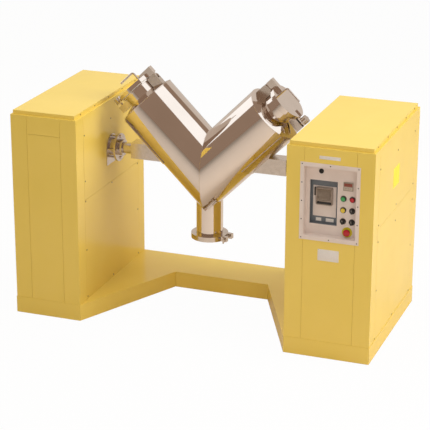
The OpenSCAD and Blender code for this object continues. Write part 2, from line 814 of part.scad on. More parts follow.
// Pairs of lugs on the outer side of each neck, with a pin across, that take the latch screws
module latch_blocks() color(steel) for (side = [-1, 1]) {
    difference() {
        on_leg(side) for (k = [-1, 1]) {
            inner = k * latch_w * latch_room_share / 2;
            span([neck_r - cut, min(inner, k * latch_w / 2), latch_base_s],
                [latch_o + latch_half_len * 0.94, max(inner, k * latch_w / 2), latch_top_s]);
        }
        leg_solid(side, fit);
        on_leg(side) translate([latch_o, 0, latch_pin_s]) bar_y(latch_pin_r + fit, latch_w * 2);
    }
    on_leg(side) translate([latch_o, 0, latch_pin_s]) bar_y(latch_pin_r, latch_w);
}

module neck_gaskets() color(dark) for (side = [-1, 1]) on_leg(side) difference() {
    bar_z(ferrule_r, gasket_s, cover_s);
    bar_z(neck_r - shell_t, gasket_s - cut, cover_s + cut);
}

// A bar on the front of the apex, with a T screw in its upper end
module apex_bracket() color(steel) difference() {
    on_leg(1) span([leg_r / 2, apex_y - apex_bar_w / 2, apex_bar_s0],
        [apex_bar_o, apex_y + apex_bar_w / 2, apex_bar_s1]);
    on_leg(1) bar_z(leg_r + fit, -leg_d, leg_d);
    on_leg(1) translate([apex_screw_o, apex_y, apex_screw_s])
        bar_y(apex_screw_r + fit, apex_bar_w * 2);
}

module apex_screw() color(steel) on_leg(1)
    translate([apex_screw_o, apex_y - apex_bar_w / 2, apex_screw_s]) {
        translate([0, (apex_bar_w - apex_screw_len - cut) / 2, 0])
            bar_y(apex_screw_r, apex_screw_len + apex_bar_w / 2 - cut);
        translate([0, -apex_screw_len + gap, -apex_tee_len / 2])
            cylinder(r = apex_screw_r * 0.9, h = apex_tee_len);
    }

// A charging cover with its dish, hinge arm and tongue, latch ear and strap
module cover(side) color(steel) difference() {
    arm_in_o = cover_r - cut;
    outline = [[-arm_foot_o, cover_s + cover_t / 2], [-arm_foot_o, arm_top_s - arm_t / 2],
        [-arm_foot_o - arm_t / 2, arm_top_s], [-hinge_out_o, arm_top_s], [-hinge_out_o, arm_base_s],
        [-arm_in_o, arm_base_s], [-arm_in_o, cover_s + cover_t / 2]];
    on_leg(side) {
        bar_z(cover_r, cover_s, cover_top_s);
        rotate([90, 0, 0]) linear_extrude(arm_w, center = true) polygon(outline);
        translate([-hinge_o, 0, pin_s]) bar_y(tongue_end_r, tongue_t);
        span([-hinge_o - tongue_end_r, -tongue_t / 2, pin_s],
            [tongue_end_r - hinge_o, tongue_t / 2, arm_base_s + cut]);
        span([cover_r * 0.9, -ear_half_w, cover_s], [ear_out_o, ear_half_w, cover_s + ear_t]);
        span([strap_start_o, -strap_half_w, cover_top_s - cut],
            [cover_r, strap_half_w, cover_top_s + strap_t]);
    }
    on_leg(side) bar_z(dish_r, cover_s - cut, cover_s + dish_depth);
    on_leg(side) translate([-hinge_o, 0, pin_s]) bar_y(hinge_pin_r + fit, arm_w);
    on_leg(side) translate([latch_o, 0, 0])
        bar_z(latch_screw_r + screw_room, cover_s - cut, cover_s + ear_t + cut);
}

// A bent rod that stands on a cover and reaches across it
module handle(side) color(steel) on_leg(side) translate([-handle_o, -handle_y, cover_top_s]) {
    cylinder(r = handle_rod_r, h = handle_rise - handle_bend_r);
    translate([handle_bend_r, 0, handle_rise - handle_bend_r]) rotate([90, 0, 0]) rotate(90)
        rotate_extrude(angle = 90) translate([handle_bend_r, 0]) circle(r = handle_rod_r);
    translate([handle_bend_r, 0, handle_rise]) rotate([0, 90, 0])
        cylinder(r = handle_rod_r, h = handle_reach - handle_bend_r);
}

// A fluted hand knob on the screw that holds a cover shut
module latch_knob(side) color(steel) {
    base_s = cover_s + ear_t + gap;
    flutes = 6;
    on_leg(side) translate([latch_o, 0, 0]) {
        difference() {
            bar_z(knob_r, base_s, base_s + knob_h);
            for (i = [0:flutes - 1]) rotate(360 * i / flutes)
                translate([knob_r * 1.15, 0, 0]) bar_z(knob_r * 0.3, base_s - cut, base_s + knob_h + cut);
        }
        bar_z(latch_screw_r, screw_tip_s, base_s + cut);
    }
}

module left_cover() cover(-1);
module left_handle() handle(-1);
module left_latch_knob() latch_knob(-1);
module right_cover() cover(1);
module right_handle() handle(1);
module right_latch_knob() latch_knob(1);

// Puts its children at the clamp's ears: x outwards, y along the clamp bolt
module on_clamp() {
    translate([shell_x, 0, clamp_bolt_z]) rotate(ear_turn) children();
}

// Clamp band round the nozzle with its closing plate, ears and bolt
module discharge_cap() color(steel) difference() {
    union() {
        translate([shell_x, 0, 0]) bar_z(clamp_r, cap_z, cap_z + clamp_h);
        on_clamp() {
            for (y = [-ear_mid, ear_mid]) span([nozzle_r + beam_wall, y - ear_w / 2, -clamp_h / 2],
                [clamp_r + ear_reach, y + ear_w / 2, clamp_h / 2]);
            translate([bolt_out, -wing_len / 2 - cut, 0])
                bar_y(clamp_bolt_r, ear_mid * 2 + ear_w + wing_len);
        }
    }
    translate([shell_x, 0, 0]) bar_z(nozzle_r + gap, cap_z + cap_plate_t, cap_z + clamp_h + cut);
}

module clamp_wing_nut() color(steel) on_clamp() {
    face_y = -ear_mid - ear_w / 2 - gap;
    translate([bolt_out, face_y - wing_len / 2, 0]) difference() {
        union() {
            bar_y(wing_hub_r, wing_len);
            for (z = [-1, 1]) translate([0, 0, z * (wing_span / 2 - wing_hub_r)])
                rotate([0, 90, 0]) cylinder(r = wing_hub_r, h = wing_t, center = true);
            span([-wing_t / 2, -wing_len / 2, wing_hub_r - wing_span / 2],
                [wing_t / 2, wing_len / 2, wing_span / 2 - wing_hub_r]);
        }
        bar_y(clamp_bolt_r + fit, wing_len * 2);
    }
}

// A frame of sheet in front of the cabinet round the recess
module control_bezel() color(pale) difference() {
    span([panel_mid_x - bezel_w / 2, front_y - bezel_t, bezel_mid_z - bezel_h / 2],
        [panel_mid_x + bezel_w / 2, front_y, bezel_mid_z + bezel_h / 2]);
    span([panel_mid_x - recess_w / 2, front_y - cut * 2, bezel_mid_z - recess_h / 2],
        [panel_mid_x + recess_w / 2, front_y + cut, bezel_mid_z + recess_h / 2]);
}

// Places of the switches, as x and z
buttons_at = [[switch_x - switch_half_pitch, row_z], [switch_x + switch_half_pitch, row_z],
    [switch_x - switch_half_pitch, row_z - switch_row], [switch_x + switch_half_pitch, row_z - switch_row],
    [switch_x - switch_half_pitch, row_z - 2 * switch_row],
    [switch_x + switch_half_pitch, row_z - 2 * switch_row], [switch_x, stop_z]];

// Puts its children on the pan, with z pointing back into the cabinet
module on_pan(x, z) {
    translate([x, pan_y, z]) rotate([-90, 0, 0]) children();
}

// A box on the pan, centred, from one depth to another
module pan_box(x, z, w, h, from, to) {
    span([x - w / 2, pan_y + from, z - h / 2], [x + w / 2, pan_y + to, z + h / 2]);
}

// The recessed pan with its walls and the cut-outs of what it carries
module control_pan() color(pale) difference() {
    half_w = recess_w / 2;
    half_h = recess_h / 2;
    span([panel_mid_x - half_w - pan_t, front_y, bezel_mid_z - half_h - pan_t],
        [panel_mid_x + half_w + pan_t, pan_y + pan_t, bezel_mid_z + half_h + pan_t]);
    span([panel_mid_x - half_w, front_y - cut, bezel_mid_z - half_h],
        [panel_mid_x + half_w, pan_y, bezel_mid_z + half_h]);
    pan_box(window_x, window_z, window_w, window_h, -cut, pan_t + cut);
    pan_box(switch_x, display_z, display_w * display_body_share + gap, display_h * display_body_share + gap,
        -cut, pan_t + cut);
    for (p = buttons_at) on_pan(p[0], p[1]) bar_z(switch_body_r + gap, -cut, pan_t + cut);
}

// The deeper box that holds the instrument's plate
module instrument_liner() color(grey) difference() {
    pan_box(window_x, window_z, window_w - gap, window_h - gap, 0, window_depth + liner_t);
    pan_box(window_x, window_z, window_w - gap - liner_t * 2, window_h - gap - liner_t * 2,
        -cut, window_depth);
    pan_box(window_x, instrument_z, instrument_w * 0.9 + gap * 2, instrument_h * 0.9 + gap * 2,
        0, window_depth + liner_t + cut);
}

module instrument_plate() color(pale) difference() {
    pan_box(window_x, window_z, plate_w, plate_h, window_depth - liner_t, window_depth);
    pan_box(window_x, instrument_z, instrument_w * 0.9 + gap * 2, instrument_h * 0.9 + gap * 2,
        0, window_depth + cut);
}

// A plate with round corners, its back at the given depth
module rounded_front(x, z, w, h, r, from, to) {
    pan_box(x, z, w - r * 2, h, from, to);
    pan_box(x, z, w, h - r * 2, from, to);
    for (i = [-1, 1], k = [-1, 1]) on_pan(x + i * (w / 2 - r), z + k * (h / 2 - r)) bar_z(r, from, to);
}

module chart_instrument() color(dark) {
    back = window_depth - liner_t;
    rounded_front(window_x, instrument_z, instrument_w, instrument_h, instrument_corner,
        back - instrument_proud, back);
    pan_box(window_x, instrument_z, instrument_w * 0.9, instrument_h * 0.9, back - cut, back + case_depth);
}

module display() color(dark) {
    pan_box(switch_x, display_z, display_w, display_h, -case_t, 0);
    pan_box(switch_x, display_z, display_w * display_body_share, display_h * display_body_share,
        -cut, case_depth);
}

// Collars in front of the pan with the bodies and contact blocks behind it
module switch_bodies() color(grey) for (p = buttons_at) on_pan(p[0], p[1]) difference() {
    union() {
        bar_z(switch_face_r, -switch_face_t, 0);
        bar_z(switch_body_r, -cut, pan_t + cut * 2);
        span([-switch_block_w / 2, -switch_block_h / 2, pan_t + cut],
            [switch_block_w / 2, switch_block_h / 2, switch_depth]);
    }
    bar_z(cap_r + button_room, -switch_face_t - cut, -cut);
    bar_z(switch_stem_r + button_room, -switch_face_t, switch_depth - switch_face_t);
}

// A push button's cap and stem
module push_button(place) {
    on_pan(place[0], place[1]) {
        bar_z(cap_r, -switch_face_t - cap_proud, -button_travel - cut - gap);
        bar_z(switch_stem_r, -switch_face_t - cut, stem_len);
    }
}

// A selector's disc with its grip, which turns in its body
module selector(place) {
    on_pan(place[0], place[1]) {
        bar_z(cap_r, -switch_face_t - cap_proud, -cut - gap);
        bar_z(switch_stem_r, -switch_face_t - cut, stem_len);
        span([-grip_w / 2, -cap_r, -switch_face_t - cap_proud - grip_h],
            [grip_w / 2, cap_r, -switch_face_t - cap_proud + cut]);
    }
}

module green_button() color([0.1, 0.5, 0.25]) push_button(buttons_at[0]);
module red_button() color([0.7, 0.1, 0.1]) push_button(buttons_at[1]);
module yellow_button() color([0.85, 0.7, 0.1]) push_button(buttons_at[2]);
module selector_1() color(dark) selector(buttons_at[3]);
module selector_2() color(dark) selector(buttons_at[4]);
module selector_3() color(dark) selector(buttons_at[5]);

// A mushroom head on its stem
module stop_button() color([0.7, 0.1, 0.1]) on_pan(switch_x, stop_z) {
    head = -switch_face_t - stop_travel - gap * 2;
    rotate_extrude() polygon([[0, head], [stop_r * 0.8, head], [stop_r, head - stop_dome_t * 0.35],
        [stop_r * 0.9, head - stop_dome_t * 0.75], [stop_r * 0.5, head - stop_dome_t],
        [0, head - stop_dome_t * 1.08]]);
    bar_z(switch_stem_r, head - cut, stem_len);
}

base_rails();
base_deck();
left_frame();
left_stiles();
left_front_panels();
left_inner_panels();
left_outer_panels();
left_back_panel();
left_lid();
right_frame();
right_stiles();
right_front_panels();
right_inner_panels();
right_outer_panels();
right_back_panel();
right_lid();
pedestals();
bearings();
guard_plates();
flange_bolts();
gearbox();
motor();
motor_stand();
coupling_flanges();
coupling_bolts();
output_shaft();
shell();
discharge_nozzle();
left_beam();
right_beam();
trunnion_shafts();
shaft_collar();
hinge_blocks();
hinge_pins();
latch_blocks();
neck_gaskets();
apex_bracket();
apex_screw();
left_cover();
left_handle();
left_latch_knob();
right_cover();
right_handle();
right_latch_knob();
discharge_cap();
clamp_wing_nut();
control_bezel();
control_pan();
instrument_liner();
instrument_plate();
chart_instrument();
display();
switch_bodies();
green_button();
red_button();
yellow_button();
selector_1();
selector_2();
selector_3();
stop_button();
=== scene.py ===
# V-blender: a polished twin-leg shell between two yellow enamelled cabinets, in metres
import json
import math
import bmesh
import bpy
from mathutils import Matrix, Vector


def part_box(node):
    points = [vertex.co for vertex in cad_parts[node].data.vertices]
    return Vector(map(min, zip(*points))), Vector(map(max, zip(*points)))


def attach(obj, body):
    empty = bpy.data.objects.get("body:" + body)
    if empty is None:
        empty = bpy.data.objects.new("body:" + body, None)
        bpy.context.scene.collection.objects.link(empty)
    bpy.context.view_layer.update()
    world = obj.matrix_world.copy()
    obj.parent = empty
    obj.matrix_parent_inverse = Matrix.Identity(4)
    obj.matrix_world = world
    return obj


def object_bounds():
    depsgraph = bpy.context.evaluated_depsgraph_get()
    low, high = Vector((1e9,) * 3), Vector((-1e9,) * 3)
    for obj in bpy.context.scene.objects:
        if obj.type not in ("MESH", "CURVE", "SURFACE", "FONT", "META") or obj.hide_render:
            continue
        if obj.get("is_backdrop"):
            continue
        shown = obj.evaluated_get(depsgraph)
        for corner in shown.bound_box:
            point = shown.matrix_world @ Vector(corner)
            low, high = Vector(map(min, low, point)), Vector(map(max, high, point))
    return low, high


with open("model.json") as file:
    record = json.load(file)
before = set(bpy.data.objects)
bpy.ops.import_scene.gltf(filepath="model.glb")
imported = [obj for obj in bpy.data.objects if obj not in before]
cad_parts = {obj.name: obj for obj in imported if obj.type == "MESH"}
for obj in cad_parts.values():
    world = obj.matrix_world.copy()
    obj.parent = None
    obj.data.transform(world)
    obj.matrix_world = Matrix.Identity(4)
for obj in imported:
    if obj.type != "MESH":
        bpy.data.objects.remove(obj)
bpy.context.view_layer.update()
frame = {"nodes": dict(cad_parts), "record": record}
nodes = frame["nodes"]
scene = bpy.context.scene
print("frame loaded:", len(nodes), "nodes")

mm = 0.001


def linear(hexColor):  # sRGB hex to the linear values that shaders take
    parts = [int(hexColor[i:i + 2], 16) / 255 for i in (1, 3, 5)]
    return tuple(p / 12.92 if p <= 0.04045 else ((p + 0.055) / 1.055) ** 2.4 for p in parts) + (1.0,)


def addNode(tree, kind, links=None, **settings):  # one node with its settings, values and links
    node = tree.nodes.new(kind)
    for name, value in settings.items():
        setattr(node, name, value)
    for socket, value in (links or {}).items():
        target = node.inputs[socket]
        if isinstance(value, bpy.types.NodeSocket):
            tree.links.new(value, target)
        else:
            target.default_value = value
    return node


def newMaterial(name, color, metallic, roughness, **sockets):
    material = bpy.data.materials.new(name)
    material.use_nodes = True
    tree = material.node_tree
    shader = tree.nodes["Principled BSDF"]
    shader.inputs["Base Color"].default_value = linear(color)
    shader.inputs["Metallic"].default_value = metallic
    shader.inputs["Roughness"].default_value = roughness
    for name, value in sockets.items():
        shader.inputs[name.replace("_", " ")].default_value = value
    place = addNode(tree, "ShaderNodeTexCoord")
    return material, tree, shader, place.outputs["Object"]


def mottle(tree, place, sizeMm, detail=3.0, stretch=(1, 1, 1)):  # noise whose grain has a real size
    mapping = addNode(tree, "ShaderNodeMapping", {"Vector": place, "Scale": stretch})
    return addNode(tree, "ShaderNodeTexNoise", {"Vector": mapping.outputs["Vector"],
                   "Scale": 1 / (sizeMm * mm), "Detail": detail, "Roughness": 0.55}).outputs["Fac"]


def spread(tree, value, low, high):  # a noise value turned into a range
    return addNode(tree, "ShaderNodeMapRange", {"Value": value, "From Min": 0.3, "From Max": 0.7,
                   "To Min": low, "To Max": high}).outputs["Result"]


def tint(tree, shader, value, first, second):  # colour that drifts between two hex values
    ramp = addNode(tree, "ShaderNodeValToRGB", {"Fac": value})
    ramp.color_ramp.elements[0].position = 0.3
    ramp.color_ramp.elements[1].position = 0.7
    ramp.color_ramp.elements[0].color = linear(first)
    ramp.color_ramp.elements[1].color = linear(second)
    tree.links.new(ramp.outputs["Color"], shader.inputs["Base Color"])


def relief(tree, shader, value, depthMm, edgeMm=0.0):  # bump, over edges softened by a small round
    links = {"Height": value, "Strength": 1.0, "Distance": depthMm * mm}
    if edgeMm:
        links["Normal"] = addNode(tree, "ShaderNodeBevel", {"Radius": edgeMm * mm}, samples=6).outputs["Normal"]
    bump = addNode(tree, "ShaderNodeBump", links)
    tree.links.new(bump.outputs["Normal"], shader.inputs["Normal"])


# Semi-gloss polyurethane enamel on folded sheet: saturated yellow with a faint orange peel
enamelLook = {"first": "#EFCF5E", "second": "#F2D264", "roughness": (0.16, 0.24), "peelMm": 5.0, "edgeMm": 1.2}


def yellowEnamel():
    material, tree, shader, place = newMaterial("yellowEnamel", enamelLook["first"], 0, 0.2, IOR=1.5)
    tint(tree, shader, mottle(tree, place, 420), enamelLook["first"], enamelLook["second"])
    tree.links.new(spread(tree, mottle(tree, place, 160), *enamelLook["roughness"]), shader.inputs["Roughness"])
    relief(tree, shader, mottle(tree, place, enamelLook["peelMm"], 1.0), 0.02, enamelLook["edgeMm"])
    return material


# Stainless steel 304, mirror polished: sharp reflections, slightly warm, drawn sheet's faint waves
def mirrorSteel():
    material, tree, shader, place = newMaterial("mirrorPolishedStainless", "#E4DBD3", 1, 0.05)
    tint(tree, shader, mottle(tree, place, 240), "#E0D7CF", "#E8DFD8")
    tree.links.new(spread(tree, mottle(tree, place, 30), 0.035, 0.075), shader.inputs["Roughness"])
    relief(tree, shader, mottle(tree, place, 210, 1.0), 0.25, 0.8)
    return material


# Satin stainless steel: machined and blasted fittings with a soft sheen
def satinSteel():
    material, tree, shader, place = newMaterial("satinStainless", "#D6CDC4", 1, 0.2)
    tint(tree, shader, mottle(tree, place, 25), "#CFC6BD", "#DDD4CC")
    tree.links.new(spread(tree, mottle(tree, place, 6), 0.13, 0.24), shader.inputs["Roughness"])
    relief(tree, shader, mottle(tree, place, 1.5), 0.02, 0.7)
    return material


# Turned steel bar: fine rings from the lathe across the bar's axis
def turnedSteel():
    material, tree, shader, place = newMaterial("turnedSteelBar", "#D4CBC3", 1, 0.2)
    tint(tree, shader, mottle(tree, place, 40), "#CCC3BA", "#DCD4CC")
    tree.links.new(spread(tree, mottle(tree, place, 2.0, 2.0, (1, 0.03, 0.03)), 0.12, 0.26),
                   shader.inputs["Roughness"])
    relief(tree, shader, mottle(tree, place, 1.2, 1.0, (1, 0.02, 0.02)), 0.02, 0.7)
    return material


# Grey iron, sand cast and painted: a dull skin with a coarse grain
def greyIron():
    material, tree, shader, place = newMaterial("paintedGreyIron", "#8E8B88", 0.6, 0.42)
    tint(tree, shader, mottle(tree, place, 30), "#85827F", "#989592")
    tree.links.new(spread(tree, mottle(tree, place, 12), 0.34, 0.5), shader.inputs["Roughness"])
    relief(tree, shader, mottle(tree, place, 2.5), 0.12, 1.5)
    return material


# Machine enamel, grey, brushed on: low gloss
def greyEnamel():
    material, tree, shader, place = newMaterial("greyMachineEnamel", "#74777A", 0, 0.35, IOR=1.5)
    tint(tree, shader, mottle(tree, place, 60), "#6E7174", "#7B7E81")
    relief(tree, shader, mottle(tree, place, 6), 0.06, 1.5)
    return material


# Oiled black steel: coupling flanges, small screws and the badge
def blackSteel():
    material, tree, shader, place = newMaterial("oiledBlackSteel", "#3B3A39", 0.9, 0.3)
    tint(tree, shader, mottle(tree, place, 12), "#2F2E2E", "#474543")
    relief(tree, shader, mottle(tree, place, 1.5), 0.02, 0.5)
    return material


# Zinc plated screw heads dulled to bronze by handling and paint dust
def dulledZinc():
    material, tree, shader, place = newMaterial("dulledZincPlate", "#8A7448", 0.7, 0.42)
    tint(tree, shader, mottle(tree, place, 3), "#7A6640", "#96804F")
    relief(tree, shader, mottle(tree, place, 0.8), 0.02, 0.4)
    return material


# White silicone rubber, moulded: soft and slightly translucent to the eye
def siliconeRubber():
    material, tree, shader, place = newMaterial("siliconeRubber", "#E4DED4", 0, 0.5, IOR=1.43)
    tint(tree, shader, mottle(tree, place, 20), "#DDD6CB", "#EAE5DD")
    relief(tree, shader, mottle(tree, place, 1.0), 0.02, 0.5)
    return material


# Pinkish light grey powder coat on the control bezel and pan: fine grain, satin
def paleCoat():
    material, tree, shader, place = newMaterial("palePowderCoat", "#E4D4C9", 0, 0.4, IOR=1.5)
    tint(tree, shader, mottle(tree, place, 90), "#E0CFC3", "#E8D8CD")
    relief(tree, shader, mottle(tree, place, 1.6), 0.03, 0.8)
    return material


# Mid grey powder coat in the instrument's window
def greyCoat():
    material, tree, shader, place = newMaterial("greyPowderCoat", "#6F7377", 0, 0.42, IOR=1.5)
    tint(tree, shader, mottle(tree, place, 70), "#6A6E72", "#767A7E")
    relief(tree, shader, mottle(tree, place, 1.6), 0.03, 0.6)
    return material


# Moulded plastic: even colour, fine spark grain, given by its two colours and its gloss
def mouldedPlastic(name, first, second, roughness):
    material, tree, shader, place = newMaterial(name, first, 0, roughness, IOR=1.49)
    tint(tree, shader, mottle(tree, place, 9), first, second)
    relief(tree, shader, mottle(tree, place, 0.9), 0.015, 0.5)
    return material


# Clear acrylic window: hardly visible, with a gloss
def clearAcrylic():
    material, tree, shader, place = newMaterial("clearAcrylic", "#F4F1EC", 0, 0.05, IOR=1.49,
                                                Transmission_Weight=1.0)
    relief(tree, shader, mottle(tree, place, 40, 1.0), 0.02)
    return material


enamel = yellowEnamel()
mirror = mirrorSteel()
satin = satinSteel()
turned = turnedSteel()
iron = greyIron()
machineGrey = greyEnamel()
black = blackSteel()
bronzeScrew = dulledZinc()
silicone = siliconeRubber()
pale = paleCoat()
liner = greyCoat()
darkPlastic = mouldedPlastic("blackPhenolic", "#262423", "#302D2B", 0.35)
greenPlastic = mouldedPlastic("greenPolycarbonate", "#3F9A57", "#4DAA64", 0.22)
redPlastic = mouldedPlastic("redPolycarbonate", "#B9202B", "#C62B35", 0.22)
yellowPlastic = mouldedPlastic("yellowPolycarbonate", "#D9BC3C", "#E2C74B", 0.22)
signPlastic = mouldedPlastic("whiteSatinLaminate", "#E3DAD0", "#E9E1D8", 0.35)
beigePlastic = mouldedPlastic("beigeSatinPolycarbonate", "#9C8A7B", "#A69485", 0.35)
chartPaper = mouldedPlastic("mattIvoryPolycarbonate", "#B9A999", "#C3B4A5", 0.45)
lampRed = mouldedPlastic("glossyRedAcrylic", "#8A4638", "#944D3E", 0.18)
oliveFrame = mouldedPlastic("oliveSatinPolycarbonate", "#9C8F7C", "#A69A87", 0.35)
labelYellow = mouldedPlastic("satinYellowVinyl", "#EFE52A", "#F2EA34", 0.4)
stopYellow = mouldedPlastic("satinYellowNylon", "#C8B616", "#D3C222", 0.3)
acrylic = clearAcrylic()

slotMaterial = {"yellow_paint": enamel, "mirror_steel": mirror, "satin_steel": satin, "turned_steel": turned,
                "grey_iron": iron, "grey_enamel": machineGrey, "black_steel": black, "gasket_rubber": silicone,
                "pale_enamel": pale, "liner_grey": liner, "black_plastic": darkPlastic,
                "green_plastic": greenPlastic, "red_plastic": redPlastic, "yellow_plastic": yellowPlastic}
slotOf = {s["node"]: s["material_slot"] for s in frame["record"]["subparts"]}
for name, piece in nodes.items():
    piece.data.materials.clear()
    piece.data.materials.append(slotMaterial[slotOf[name]])
ownMaterial = {"chart_instrument": beigePlastic, "display": oliveFrame, "bearings": turned, "guard_plates": satin}
for name, material in ownMaterial.items():
    nodes[name].data.materials[0] = material
print("materials set")


def finishMesh(name, mesh, body, material):  # links a mesh as a finished piece on its body
    mesh.name = name
    piece = bpy.data.objects.new(name, mesh)
    scene.collection.objects.link(piece)
    mesh.materials.clear()
    mesh.materials.append(material)
    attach(piece, body)


def bevelBox(work, low, high, edge, segments=2):  # a box with its edges rounded
    made = bmesh.ops.create_cube(work, size=1)
    size = [h - l for l, h in zip(low, high)]
    centre = [(h + l) / 2 for l, h in zip(low, high)]
    bmesh.ops.scale(work, vec=size, verts=made["verts"])
    bmesh.ops.translate(work, vec=centre, verts=made["verts"])
    edges = list({e for v in made["verts"] for e in v.link_edges})
    bmesh.ops.bevel(work, geom=edges, offset=edge, segments=segments, affect="EDGES", profile=0.5)


def revolve(work, profile, matrix, segments=32):  # a closed solid of revolution about its local z
    rings = []
    for radius, height in profile:
        if radius < 1e-7:
            rings.append([work.verts.new(matrix @ Vector((0, 0, height)))])
        else:
            rings.append([work.verts.new(matrix @ Vector((radius * math.cos(a), radius * math.sin(a), height)))
                          for a in (2 * math.pi * i / segments for i in range(segments))])
    for lower, upper in zip(rings, rings[1:]):
        for i in range(segments):
            k = (i + 1) % segments
            corners = [lower[i % len(lower)], lower[k % len(lower)],
                       upper[k % len(upper)], upper[i % len(upper)]]
            corners = [c for n, c in enumerate(corners) if c not in corners[:n]]
            if len(corners) > 2:
                work.faces.new(corners)


def toMesh(work, smooth=True):
    bmesh.ops.recalc_face_normals(work, faces=work.faces)
    mesh = bpy.data.meshes.new("piece")
    work.to_mesh(mesh)
    work.free()
    if smooth:
        for polygon in mesh.polygons:
            polygon.use_smooth = True
        mesh.set_sharp_from_angle(angle=math.radians(35))
    return mesh


# Pan head screw with a hexagon recess, made once and set by Geometry Nodes on every seat
screwHead = {"radius": 5.2 * mm, "height": 2.0 * mm, "recess": 2.2 * mm, "sides": 16}


def turnedMesh(profile, sides):
    work = bmesh.new()
    revolve(work, profile, Matrix.Identity(4), sides)
    return toMesh(work)


def screwMesh(look):
    r, h, k = look["radius"], look["height"], look["recess"]
    return turnedMesh([(0, 0), (r, 0), (r, 0.35 * h), (0.85 * r, 0.8 * h), (0.6 * r, h), (k, h), (k, 0.45 * h),
                       (0, 0.4 * h)], look["sides"])


def fieldTree(name):  # Geometry Nodes: one part on every vertex, turned to the stored direction
    tree = bpy.data.node_groups.new(name, "GeometryNodeTree")
    tree.interface.new_socket("Geometry", in_out="INPUT", socket_type="NodeSocketGeometry")
    tree.interface.new_socket("Part", in_out="INPUT", socket_type="NodeSocketObject")
    tree.interface.new_socket("Finish", in_out="INPUT", socket_type="NodeSocketMaterial")
    tree.interface.new_socket("Geometry", in_out="OUTPUT", socket_type="NodeSocketGeometry")
    entry = addNode(tree, "NodeGroupInput")
    facing = addNode(tree, "GeometryNodeInputNamedAttribute", {"Name": "facing"}, data_type="FLOAT_VECTOR")
    turn = addNode(tree, "FunctionNodeAlignRotationToVector", {"Vector": facing.outputs["Attribute"]}, axis="Z")
    part = addNode(tree, "GeometryNodeObjectInfo", {"Object": entry.outputs["Part"]})
    seat = addNode(tree, "GeometryNodeInstanceOnPoints", {"Points": entry.outputs["Geometry"],
                   "Instance": part.outputs["Geometry"], "Rotation": turn.outputs["Rotation"]})
    real = addNode(tree, "GeometryNodeRealizeInstances", {"Geometry": seat.outputs["Instances"]})
    paint = addNode(tree, "GeometryNodeSetMaterial", {"Geometry": real.outputs["Geometry"],
                    "Material": entry.outputs["Finish"]})
    addNode(tree, "NodeGroupOutput", {"Geometry": paint.outputs["Geometry"]})
    return tree


partField = fieldTree("partOnEverySeat")


def scatter(name, partMesh, seats, body, material):  # seats are (place, direction) pairs
    part = bpy.data.objects.new(name + "Part", partMesh)
    scene.collection.objects.link(part)
    points = bpy.data.meshes.new(name + "Seats")
    points.from_pydata([s[0] for s in seats], [], [])
    facing = points.attributes.new("facing", "FLOAT_VECTOR", "POINT")
    for i, (place, direction) in enumerate(seats):
        facing.data[i].vector = direction
    holder = bpy.data.objects.new(name + "Seats", points)
    scene.collection.objects.link(holder)
    modifier = holder.modifiers.new("field", "NODES")
    modifier.node_group = partField
    sockets = {s.name: s.identifier for s in partField.interface.items_tree if s.in_out == "INPUT"}
    modifier[sockets["Part"]] = part
    modifier[sockets["Finish"]] = material
    evaluated = holder.evaluated_get(bpy.context.evaluated_depsgraph_get())
    mesh = bpy.data.meshes.new_from_object(evaluated)
    bpy.data.objects.remove(holder)
    bpy.data.objects.remove(part)
    finishMesh(name, mesh, body, material)


# Screws of the sheet panels: columns along y, and which of them each height holds
panelScrews = {"columns": (-0.389, -0.002, 0.400), "lidRows": 5, "lidEdge": 0.085,
               "backRows": 5, "backInset": 0.020, "backLow": 0.013, "backTop": 0.027,
               "left": {1.131: (0, 1, 2), 0.848: (0, 2), 0.722: (0, 1, 2), 0.415: (0, 2), 0.115: (0, 1, 2)},
               "right": {1.130: (0, 1, 2), 0.802: (0, 1, 2), 0.702: (0, 1, 2), 0.410: (0, 2), 0.112: (0, 1, 2)}}


def sideSeats(node, facing, rows):
    low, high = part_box(node)
    x = high.x if facing > 0 else low.x
    return [((x, panelScrews["columns"][c], z), (facing, 0, 0)) for z, picks in rows.items() for c in picks]


def lidSeats(node):
    low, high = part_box(node)
    z = (low.z + high.z) / 2
    edge = panelScrews["lidEdge"]
    ys = [low.y + edge + i * (high.y - low.y - 2 * edge) / (panelScrews["lidRows"] - 1)
          for i in range(panelScrews["lidRows"])]
    return [((x, y, z), (side, 0, 0)) for x, side in ((low.x, -1), (high.x, 1)) for y in ys]


def backSeats(node):
    low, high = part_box(node)
    inset, count = panelScrews["backInset"], panelScrews["backRows"]
    foot = low.z + panelScrews["backLow"]
    step = (high.z - panelScrews["backTop"] - foot) / (count - 1)
    return [((x, high.y, foot + k * step), (0, 1, 0))
            for x in (low.x + inset, high.x - inset) for k in range(count)]


seats = []
for node, facing in (("inner_panels", 1), ("outer_panels", -1)):
    seats += sideSeats("left_" + node, facing, panelScrews["left"])
    seats += sideSeats("right_" + node, -facing, panelScrews["right"])
for node in ("left_lid", "right_lid"):
    seats += lidSeats(node)
for node in ("left_back_panel", "right_back_panel"):
    seats += backSeats(node)
scatter("panelScrewHeads", screwMesh(screwHead), seats, "frame", bronzeScrew)

